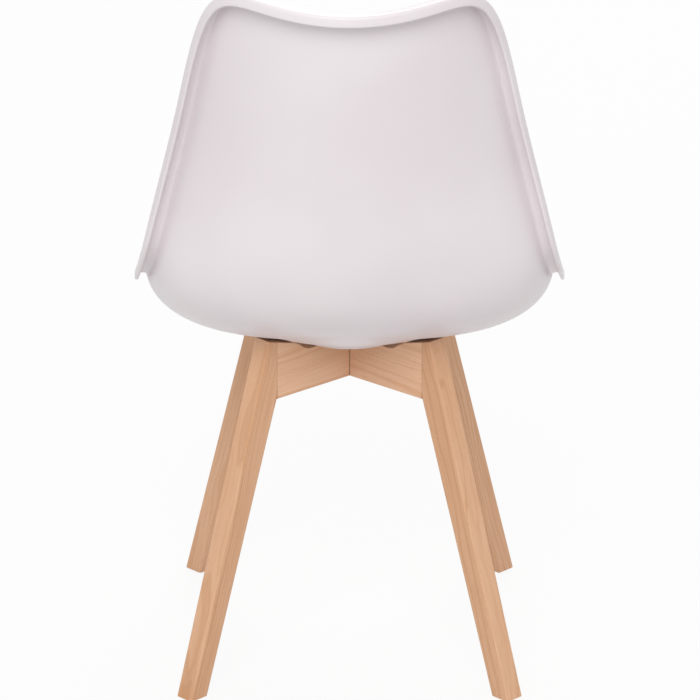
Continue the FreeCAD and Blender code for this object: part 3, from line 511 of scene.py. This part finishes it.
def shellLoops():
    s = shellSizes
    rings = []
    for k in range(s["rings"] + 1):
        ring = k / s["rings"]
        rings.append([sheetFrame(*ringPlace(ring, turn)) for turn in rimTurns])
    outside = [wholeLoop([p.copy() for p, normal in ring]) for ring in rings]
    inside = [wholeLoop([p - normal * s["wall"] for p, normal in ring]) for ring in rings]
    frames = []
    step = slopeStep
    for i, turn in enumerate(rimTurns):
        here, normal = rings[-1][i]
        along = (sheetPoint(*ringPlace(1.0, turn + step)) - sheetPoint(*ringPlace(1.0, turn - step)))
        away = along.normalized().cross(normal).normalized()
        if away.dot(here - rings[-2][i][0]) < 0:
            away = -away
        rest = (math.sin(turn) + 1) / 2
        widen = ease((rest - s["brimFrom"]) / s["brimSpan"])
        wide = s["brimSeat"] + (s["brimBack"] - s["brimSeat"]) * widen
        frames.append((here, away, normal, wide))
    wall, hang, draw, edge = s["wall"], s["brimHang"], s["lipDraw"], s["edgeRound"]
    roll = math.radians(s["brimRoll"])
    loops = list(outside)
    for part in (0.2, 0.4, 0.6, 0.8, 1.0):
        loops.append(brimLoop(frames, None, 0, (0.0, roll * part)))
    for part in (0.33, 0.67, 1.0):
        loops.append(brimLoop(frames, (part, 0.0), 0.0))
    loops.append(brimLoop(frames, (1.0, draw / 2), hang / 2))
    loops.append(brimLoop(frames, (1.0, draw), hang))
    middle, half = (draw + wall) / 2, (wall - draw) / 2
    for part in range(1, 9):
        a = math.pi * part / 8
        loops.append(brimLoop(frames, (1.0, middle - math.cos(a) * half),
                              hang + math.sin(a) * s["lipRound"]))
    loops.append(brimLoop(frames, (1.0, wall), hang / 2))
    for part in range(0, 8):
        a = math.pi / 2 * part / 7
        loops.append(brimLoop(frames, (1.0, wall - edge + math.cos(a) * edge),
                              edge - wall - math.sin(a) * edge))
    for part in (0.6, 0.3, 0.0):
        loops.append(brimLoop(frames, (part, 0.0), -wall))
    for part in (0.8, 0.6, 0.4, 0.2):
        loops.append(brimLoop(frames, None, 0, (wall, roll * part)))
    return loops + inside[::-1]


def makeShell():
    mesh = bmesh.new()
    growLoops(mesh, shellLoops())
    shell = finishPiece("SeatShell", mesh, shellPlastic)
    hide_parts("seat_shell")


def spinProfile(mesh, profile, centre, steps=48):
    # turns a profile of (radius, height) points about an upright axis
    verts = [mesh.verts.new((centre[0] + r * mm, centre[1], z * mm)) for r, z in profile]
    edges = [mesh.edges.new(pair) for pair in zip(verts, verts[1:])]
    bmesh.ops.spin(mesh, geom=verts + edges, cent=(centre[0], centre[1], 0), axis=(0, 0, 1),
                   angle=2 * math.pi, steps=steps, use_merge=True)


def makeUnderside():
    # ring wall, four bosses and two ribs under the flat of the seat
    s = shellSizes
    middle = (0.0, s["rearShift"] * mm)
    top, flare, near, edge = s["bellyHeight"] + s["sunk"], s["flare"], s["flareEdge"], s["lowRound"]
    mesh = bmesh.new()
    outside, inside, low = s["ringRadius"], s["ringRadius"] - s["ringWall"], s["ringHeight"]
    spinProfile(mesh, [(inside - flare, top), (inside - near, top - flare), (inside, top - 2 * flare),
                       (inside, low + edge), (inside + edge, low), (outside - edge, low),
                       (outside, low + edge), (outside, top - 2 * flare),
                       (outside + near, top - flare), (outside + flare, top)], middle, 96)
    radius, low, flange = s["bossRadius"], s["bossHeight"], s["flangeRadius"]
    for turn in (45, 135, 225, 315):
        reach = s["boltReach"] * mm
        centre = (reach * math.cos(math.radians(turn)),
                  middle[1] + reach * math.sin(math.radians(turn)))
        spinProfile(mesh, [(flange, low + s["flangeTall"]), (flange, low), (radius - edge, low),
                           (radius, low + edge), (radius, top - 2 * flare),
                           (radius + near, top - flare), (radius + flare, top)], centre, 40)
    for turn in (0, 90):
        made = bmesh.ops.create_cube(mesh, size=1.0)
        tall = top - s["ribHeight"]
        size = ((2 * outside - s["ringWall"]) * mm, s["ribThick"] * mm, tall * mm)
        bmesh.ops.scale(mesh, vec=size, verts=made["verts"])
        lowEdges = [e for e in {e for v in made["verts"] for e in v.link_edges}
                    if all(v.co.z < 0 for v in e.verts)]
        bmesh.ops.rotate(mesh, verts=made["verts"], cent=(0, 0, 0),
                         matrix=Matrix.Rotation(math.radians(turn), 3, "Z"))
        bmesh.ops.translate(mesh, verts=made["verts"],
                            vec=(0, middle[1], (s["ribHeight"] + tall / 2) * mm))
        bmesh.ops.bevel(mesh, geom=lowEdges, offset=edge * mm, offset_type="OFFSET", segments=3,
                        profile=0.5, affect="EDGES", material=-1)
    underside = finishPiece("ShellUnderside", mesh, shellPlastic, sharpAngle=50.0)
    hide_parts("seat_shell")


makeShell()
makeUnderside()
print("shell made")

# Seat pad, in the bowl; lengths in millimetres, shares of the way from its middle to its edge
padSizes = {
    "gap": 0.8, "edge": 18.0, "crown": 48.0, "bulge": 3.0, "widest": 0.55,
    "side": 0.66, "front": 0.86, "back": 0.45,
    "roundness": 2.0, "squareness": 1.6, "levelFrom": 0.03, "levelSpan": 0.82,
    "bottomRings": 3, "rings": 22, "edgeRings": ((0.25, 0.8), (0.55, 1.0), (0.85, 0.6)),
    "spokes": 360, "seamShare": 0.84, "seamWide": 0.028, "seamDeep": 5.0,
    "cordRadius": 2.4, "cordSides": 10, "cordLift": 0.25,
    "stitchPitch": 5.0, "stitchLong": 3.6, "stitchThick": 0.9, "stitchLift": 0.4,
}
coverSizes = {
    "voxel": 5.0 * mm, "quality": 6, "mass": 0.3, "stretch": 12, "shear": 4, "bend": 0.4,
    "spare": 0.025, "pressure": 4.0, "frames": 20, "cap": 6.0 * mm,
    "heldFrom": 0.75, "upperFrom": 0.25,
}


def padLoop(share, lift, bulge=0.0):
    # one loop of the pad; a lift of none lies on the bowl, a bulge keeps it on the side
    half = []
    s = padSizes
    top = shellSizes["bellyHeight"] + shellSizes["wall"] + s["gap"] + s["crown"]
    for angle in rimTurns:
        c, n = math.cos(angle), math.sin(angle)
        far = s["front"] if n < 0 else s["back"]
        power = s["roundness"] + s["squareness"] * max(share, 0.0) ** 2
        full = 1 / ((abs(c) / s["side"]) ** power + (abs(n) / far) ** power) ** (1 / power)
        start = circleReach[angle] * shellSizes["levelShare"]
        reach = start + (full - start) * share if share > 0 else start * (1 + share)
        here, normal = sheetFrame(reach * c, reach * n)
        low = here - normal * (shellSizes["wall"] + s["gap"])
        if lift == 0.0:
            half.append(low)
            continue
        outward = Vector((low.x, low.y, 0)).normalized()
        high = low + Vector((0, 0, lift)) + outward * bulge
        if bulge == 0.0:
            level = 1 - ease((share - s["levelFrom"]) / s["levelSpan"])
            high.z = high.z * (1 - level) + top * level
        half.append(high)
    return wholeLoop(half)


def makePadLeather():
    material, tree, shader = newMaterial("Pad leather", **{"Specular IOR Level": 0.4})
    place = addNode(tree, "TexCoord").outputs["Object"]
    pebble = addNode(tree, "TexVoronoi", {"Vector": place, "Scale": 620.0}, feature="SMOOTH_F1")
    tint = mixTones(tree, spread(tree, noise(tree, place, 9.0, 3.0), 0.3, 0.7), tone("eeebe9"),
                    tone("e3dfdd"))
    rough = spread(tree, noise(tree, place, 30.0, 2.0), 0.3, 0.7, 0.42, 0.54)
    join(tree, shader, tint, rough, pebble.outputs["Distance"], 0.12 * mm)
    return material


def makePadThread():
    material, tree, shader = newMaterial("Pad thread", **{"Specular IOR Level": 0.3})
    place = addNode(tree, "TexCoord").outputs["Object"]
    twist = noise(tree, place, 1600.0, 2.0)
    tint = mixTones(tree, spread(tree, twist, 0.3, 0.7), tone("f2efea"), tone("d9d4cc"))
    join(tree, shader, tint, spread(tree, twist, 0.3, 0.7, 0.55, 0.7), twist, 0.08 * mm)
    return material


padLeather = makePadLeather()
padThread = makePadThread()


def makePadForm():
    mesh = bmesh.new()
    edge, crown = padSizes["edge"], padSizes["crown"]
    inner, rings = padSizes["bottomRings"], padSizes["rings"]
    shares = [k / (inner + 1) - 1 for k in range(1, inner + 1)] + [k / rings for k in range(rings + 1)]
    loops = [padLoop(share, 0.0) for share in shares]
    for lift, part in padSizes["edgeRings"]:
        loops.append(padLoop(1.0, edge * lift, padSizes["bulge"] * part))
    loops += [padLoop(share, edge + (crown - edge) * (1 - max(share, 0.0) ** 2))
              for share in shares[::-1]]
    growLoops(mesh, loops)
    return finishPiece("SeatPad", mesh, padLeather)


def padRim():
    # the pad's widest loop
    return padLoop(1.0, padSizes["edge"] * padSizes["widest"], padSizes["bulge"])


def padReach():
    # the rim's middle and how far it reaches in each of many directions
    rim = padRim()
    middle = sum(rim, Vector()) / len(rim)
    spokes = sorted((math.atan2(p.y - middle.y, p.x - middle.x), (p - middle).to_2d().length)
                    for p in rim)
    reach = []
    for k in range(padSizes["spokes"]):
        turn = -math.pi + 2 * math.pi * k / padSizes["spokes"]
        reach.append(min(spokes, key=lambda spoke: abs(spoke[0] - turn))[1])
    return middle, reach


def seamShare(point, middle, reach):
    # how far out a point lies, as a share of the reach in its direction
    turn = math.atan2(point.y - middle.y, point.x - middle.x) + math.pi
    place = turn / (2 * math.pi) * len(reach)
    low = int(place) % len(reach)
    rest = place - int(place)
    edge = reach[low] * (1 - rest) + reach[(low + 1) % len(reach)] * rest
    return (point - middle).to_2d().length / edge


def evenMesh(piece, kind, **settings):
    # lets a modifier work and keeps what it makes
    modifier = piece.modifiers.new(kind.title(), kind)
    for key, value in settings.items():
        setattr(modifier, key, value)
    shown = piece.evaluated_get(bpy.context.evaluated_depsgraph_get())
    made = bpy.data.meshes.new_from_object(shown)
    piece.modifiers.remove(modifier)
    old, piece.data = piece.data, made
    bpy.data.meshes.remove(old)


def sinkSeam(pad, middle, reach):
    # draws the seam down and holds it, and the base, for the cloth
    held = pad.vertex_groups.new(name="held")
    for vertex in pad.data.vertices:
        near = 0
        if vertex.normal.z > coverSizes["upperFrom"]:
            away = seamShare(vertex.co, middle, reach) - padSizes["seamShare"]
            near = math.exp(-(away / padSizes["seamWide"]) ** 2)
        vertex.co.z -= near * padSizes["seamDeep"] * mm
        if near > coverSizes["heldFrom"] or vertex.normal.z < 0:
            held.add([vertex.index], 1.0, "REPLACE")


def addCover(pad):
    cloth = pad.modifiers.new("Cover", "CLOTH")
    settings = cloth.settings
    settings.quality = coverSizes["quality"]
    settings.mass = coverSizes["mass"]
    settings.tension_stiffness = settings.compression_stiffness = coverSizes["stretch"]
    settings.shear_stiffness = coverSizes["shear"]
    settings.bending_stiffness = coverSizes["bend"]
    settings.shrink_min = -coverSizes["spare"]
    settings.use_pressure = True
    settings.uniform_pressure_force = coverSizes["pressure"]
    settings.vertex_group_mass = "held"
    settings.effector_weights.gravity = 0
    cloth.collision_settings.use_collision = False
    return cloth


def swellPad(pad, middle, reach):
    # blows the cover up between the seam and the base
    evenMesh(pad, "REMESH", mode="VOXEL", voxel_size=coverSizes["voxel"])
    sinkSeam(pad, middle, reach)
    start = [vertex.co.copy() for vertex in pad.data.vertices]
    cloth = addCover(pad)
    for number in range(1, coverSizes["frames"] + 1):
        scene.frame_set(number)
    shown = pad.evaluated_get(bpy.context.evaluated_depsgraph_get())
    blown = [vertex.co.copy() for vertex in shown.data.vertices]
    pad.modifiers.remove(cloth)
    scene.frame_set(1)
    for vertex, first, last in zip(pad.data.vertices, start, blown):
        move = last - first
        if move.length > coverSizes["cap"]:
            move = move.normalized() * coverSizes["cap"]
        vertex.co = first + move
    pad.vertex_groups.clear()
    evenMesh(pad, "SUBSURF", levels=1, render_levels=1)
    for face in pad.data.polygons:
        face.use_smooth = True


def makePiping(tree):
    # a corded seam round the pad's widest line, laid on its cover
    laid = []
    radius, sides = padSizes["cordRadius"] * mm, padSizes["cordSides"]
    for point in padRim():
        place, normal = tree.find_nearest(point)[:2]
        laid.append((place + normal * radius * padSizes["cordLift"], normal))
    mesh = bmesh.new()
    rows = []
    for i, (place, normal) in enumerate(laid):
        along = (laid[(i + 1) % len(laid)][0] - laid[i - 1][0]).normalized()
        out = (normal - along * normal.dot(along)).normalized()
        made = bmesh.ops.create_circle(mesh, segments=sides, radius=radius)
        turn = Matrix((out, along.cross(out), along)).transposed().to_4x4()
        bmesh.ops.transform(mesh, matrix=Matrix.Translation(place) @ turn, verts=made["verts"])
        rows.append(ringEdges(mesh, made["verts"]))
    for first, second in zip(rows, rows[1:] + rows[:1]):
        bmesh.ops.bridge_loops(mesh, edges=first + second)
    return finishPiece("PadPiping", mesh, padLeather)


def seamPath(tree, middle, reach):
    # points along the sunk seam, dropped onto the cover
    path = []
    steps = 2 * len(reach)
    for k in range(steps):
        turn = -math.pi + 2 * math.pi * k / steps
        far = reach[k // 2] * padSizes["seamShare"]
        above = middle + Vector((math.cos(turn) * far, math.sin(turn) * far, 0.1))
        path.append(tree.ray_cast(above, Vector((0, 0, -1)))[0])
    return path


def makeStitches(tree, middle, reach):
    # one row of stitches along the sunk seam
    path = seamPath(tree, middle, reach)
    total = [0.0]
    for first, second in zip(path, path[1:] + path[:1]):
        total.append(total[-1] + (second - first).length)
    count = int(total[-1] / (padSizes["stitchPitch"] * mm))
    long, thick = padSizes["stitchLong"] / 2 * mm, padSizes["stitchThick"] / 2 * mm
    mesh = bmesh.new()
    for number in range(count):
        want = total[-1] * number / count
        i = next(k for k in range(len(path)) if total[k + 1] >= want)
        rest = (want - total[i]) / (total[i + 1] - total[i])
        first, second = path[i], path[(i + 1) % len(path)]
        place, normal = tree.find_nearest(first.lerp(second, rest))[:2]
        along = (second - first).normalized()
        out = (normal - along * normal.dot(along)).normalized()
        turn = Matrix((along, out.cross(along), out)).transposed().to_4x4()
        made = bmesh.ops.create_uvsphere(mesh, u_segments=8, v_segments=6, radius=1.0)
        bmesh.ops.scale(mesh, vec=(long, thick, thick), verts=made["verts"])
        place = Matrix.Translation(place + out * thick * padSizes["stitchLift"])
        bmesh.ops.transform(mesh, matrix=place @ turn, verts=made["verts"])
    return finishPiece("PadStitches", mesh, padThread)


def makePad():
    pad = makePadForm()
    middle, reach = padReach()
    swellPad(pad, middle, reach)
    tree = BVHTree.FromObject(pad, bpy.context.evaluated_depsgraph_get())
    for piece in (pad, makePiping(tree), makeStitches(tree, middle, reach)):
        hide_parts("seat_pad")


makePad()
print("pad made")

# Beech boards
boardSizes = {
    "seamReach": 124.5 * mm, "seamWidth": 0.6 * mm, "lapReach": 12.0 * mm, "lapWidth": 0.7 * mm,
    "headReach": 135.9 * mm, "headHeight": 396.6 * mm, "footReach": 260.2 * mm, "footHeight": 2 * mm,
}
# The arm tones are lighter than the legs' beech: painted light that lifts the shade the arms sit in
# under the seat.
beechLook = {
    "light": "e2b693", "dark": "c48c60", "pore": "8f623e", "line": "4a2713",
    "armLitLight": "eec4a3", "armLitDark": "d7a27a", "legSeam": 0.4, "lineShare": 0.75,
}


def makeBeech(name, turn, pitch, shift, ringWidth, pith, lap=False):
    # turn about Z and pitch about Y lay the grain along the board
    material, tree, shader = newMaterial(name, **{"Specular IOR Level": 0.35})
    place = addNode(tree, "TexCoord").outputs["Object"]
    stand = (0, shellSizes["rearShift"] * mm, 0)
    board = addNode(tree, "Mapping", {
        "Vector": place, "Location": (shift, stand[1], 0),
        "Rotation": (0, math.radians(pitch), math.radians(turn))}, vector_type="TEXTURE")
    reach = addNode(tree, "Mapping", {
        "Vector": place, "Location": stand, "Rotation": (0, 0, math.radians(turn))},
        vector_type="TEXTURE")
    # on the arms the lighter tones are painted light against their shade under the seat
    grain = placeGroup(tree, beechGroup, {
        "Vector": board.outputs[0], "Light": tone(beechLook["armLitLight" if lap else "light"]),
        "Dark": tone(beechLook["armLitDark" if lap else "dark"]), "Pore": tone(beechLook["pore"]),
        "Ring width": ringWidth, "Pith across": pith[0], "Pith deep": pith[1]})
    seam = placeGroup(tree, jointGroup, {
        "Vector": reach.outputs[0], "Reach": boardSizes["seamReach"],
        "Width": boardSizes["seamWidth"]})
    line = compute(tree, "MULTIPLY", seam.outputs["Line"], beechLook["legSeam"])
    if lap:
        crossing = placeGroup(tree, jointGroup, {
            "Vector": reach.outputs[0], "Reach": boardSizes["lapReach"],
            "Width": boardSizes["lapWidth"]})
        line = compute(tree, "MAXIMUM", line, crossing.outputs["Line"])
    colour = mixTones(tree, compute(tree, "MULTIPLY", line, beechLook["lineShare"]),
                      grain.outputs["Color"], tone(beechLook["line"]))
    join(tree, shader, colour, grain.outputs["Roughness"], grain.outputs["Height"], 0.06 * mm)
    return material


def dress(name, material):
    node = nodes[name]
    if not node.material_slots:
        node.data.materials.append(material)
    for held in node.material_slots:
        held.material = material


legPitch = math.degrees(math.atan2(boardSizes["headHeight"] - boardSizes["footHeight"],
                                   boardSizes["footReach"] - boardSizes["headReach"]))
legs = (("leg_rear_left", 45, 0.0, 3.4, (36, 24)), ("leg_rear_right", 135, 0.31, 2.9, (-44, 30)),
        ("leg_front_right", 225, 0.57, 3.7, (52, -18)), ("leg_front_left", 315, 0.83, 3.1, (-30, 34)))
for name, turn, shift, width, pith in legs:
    dress(name, makeBeech("Beech " + name, turn, legPitch, shift, width * mm,
                          (pith[0] * mm, pith[1] * mm)))
for name, turn, shift, width, pith in (("arm_lap_below", 45, 0.19, 5.6, (30, 38)),
                                       ("arm_lap_above", 135, 0.44, 5.1, (-38, 42))):
    dress(name, makeBeech("Beech " + name, turn, 0.0, shift, width * mm,
                          (pith[0] * mm, pith[1] * mm), lap=True))


def makeSmallParts():
    looks = (
        ("joint_dowels", "Dowel beech", "d2a988", "b48860", 0.0, 0.6),
        ("seat_bolts", "Zinc", "b9bbbd", "a3a6a9", 1.0, 0.30),
        ("seat_washers", "Zinc washer", "bdbfc0", "a9acae", 1.0, 0.34),
        ("spring_washers", "Dark zinc", "8f9294", "7c7f82", 1.0, 0.32),
        ("lap_screw", "Zinc screw", "b9bbbd", "a3a6a9", 1.0, 0.30),
        ("threaded_inserts", "Brass", "c9a55c", "b08d48", 1.0, 0.30),
        ("glide_", "Nylon", "e9e7e2", "dcd9d2", 0.0, 0.45),
    )
    for start, name, light, dark, metallic, rough in looks:
        material, tree, shader = newMaterial(name, Metallic=metallic)
        place = addNode(tree, "TexCoord").outputs["Object"]
        scuffs = placeGroup(tree, scuffGroup, {"Vector": place, "Scale": 260.0, "Amount": 0.8})
        colour = mixTones(tree, spread(tree, noise(tree, place, 180.0, 2.0), 0.3, 0.7),
                          tone(light), tone(dark))
        uneven = spread(tree, scuffs.outputs["Gloss"], 0.3, 0.7, rough - 0.06, rough + 0.08)
        uneven = compute(tree, "ADD", uneven,
                         compute(tree, "MULTIPLY", scuffs.outputs["Scratches"], 0.15))
        join(tree, shader, colour, uneven, scuffs.outputs["Scratches"], 0.02 * mm)
        for node in nodes:
            if node.startswith(start):
                dress(node, material)


makeSmallParts()
print("wood and fittings dressed")

# Floor, lamps and world
stageSizes = {
    "floor": 24.0, "floorTone": 0.7, "shadow": 0.10,
    "keyPower": 90.0, "keySize": 2.6, "keyPlace": (0.3, 3.4, 3.6),
    "fillPower": 60.0, "fillSize": 3.0, "fillPlace": (-0.6, -3.0, 3.0),
    "worldLight": 0.68, "aim": (0, 0, 0.45),
}


def seenByEye(tree):
    # one for rays from the camera, a mirror or through glass
    path = addNode(tree, "LightPath")
    seen = compute(tree, "MAXIMUM", path.outputs["Is Camera Ray"], path.outputs["Is Glossy Ray"])
    return compute(tree, "MAXIMUM", seen, path.outputs["Is Transmission Ray"])


def makeFloor():
    mesh = bmesh.new()
    bmesh.ops.create_grid(mesh, x_segments=1, y_segments=1, size=stageSizes["floor"] / 2)
    data = bpy.data.meshes.new("Floor")
    mesh.to_mesh(data)
    mesh.free()
    floor = bpy.data.objects.new("Floor", data)
    scene.collection.objects.link(floor)
    grey = stageSizes["floorTone"]
    material, tree, shader = newMaterial("White floor", **{"Base Color": (grey, grey, grey, 1),
                                                           "Roughness": 0.9})
    glow = addNode(tree, "Emission", {"Color": (1, 1, 1, 1), "Strength": 1.0})
    bare = addNode(tree, "BsdfTransparent")
    share = compute(tree, "MULTIPLY", seenByEye(tree), 1 - stageSizes["shadow"])
    lit = addNode(tree, "MixShader", {0: share, 1: shader.outputs[0], 2: glow.outputs[0]})
    behind = addNode(tree, "NewGeometry").outputs["Backfacing"]
    whole = addNode(tree, "MixShader", {0: behind, 1: lit.outputs[0], 2: bare.outputs[0]})
    tree.links.new(whole.outputs[0], tree.nodes["Material Output"].inputs["Surface"])
    data.materials.append(material)


def addLamp(name, power, wide, place):
    data = bpy.data.lights.new(name, "AREA")
    data.shape = "DISK"
    data.size = wide
    data.energy = power
    lamp = bpy.data.objects.new(name, data)
    lamp.location = place
    sight = Vector(stageSizes["aim"]) - Vector(place)
    lamp.rotation_euler = sight.to_track_quat("-Z", "Y").to_euler()
    scene.collection.objects.link(lamp)


def lightScene():
    addLamp("KeyLamp", stageSizes["keyPower"], stageSizes["keySize"], stageSizes["keyPlace"])
    addLamp("FillLamp", stageSizes["fillPower"], stageSizes["fillSize"], stageSizes["fillPlace"])
    world = bpy.data.worlds.new("Studio")
    scene.world = world
    world.use_nodes = True
    tree = world.node_tree
    tree.nodes.clear()
    light = addNode(tree, "Background", {"Color": (1, 1, 1, 1),
                                         "Strength": stageSizes["worldLight"]})
    white = addNode(tree, "Background", {"Color": (1, 1, 1, 1), "Strength": 1.0})
    both = addNode(tree, "MixShader", {0: seenByEye(tree), 1: light.outputs[0], 2: white.outputs[0]})
    leave = addNode(tree, "OutputWorld")
    tree.links.new(both.outputs[0], leave.inputs["Surface"])


makeFloor()
lightScene()
scene.view_settings.view_transform = "Standard"
print("floor and lamps set")
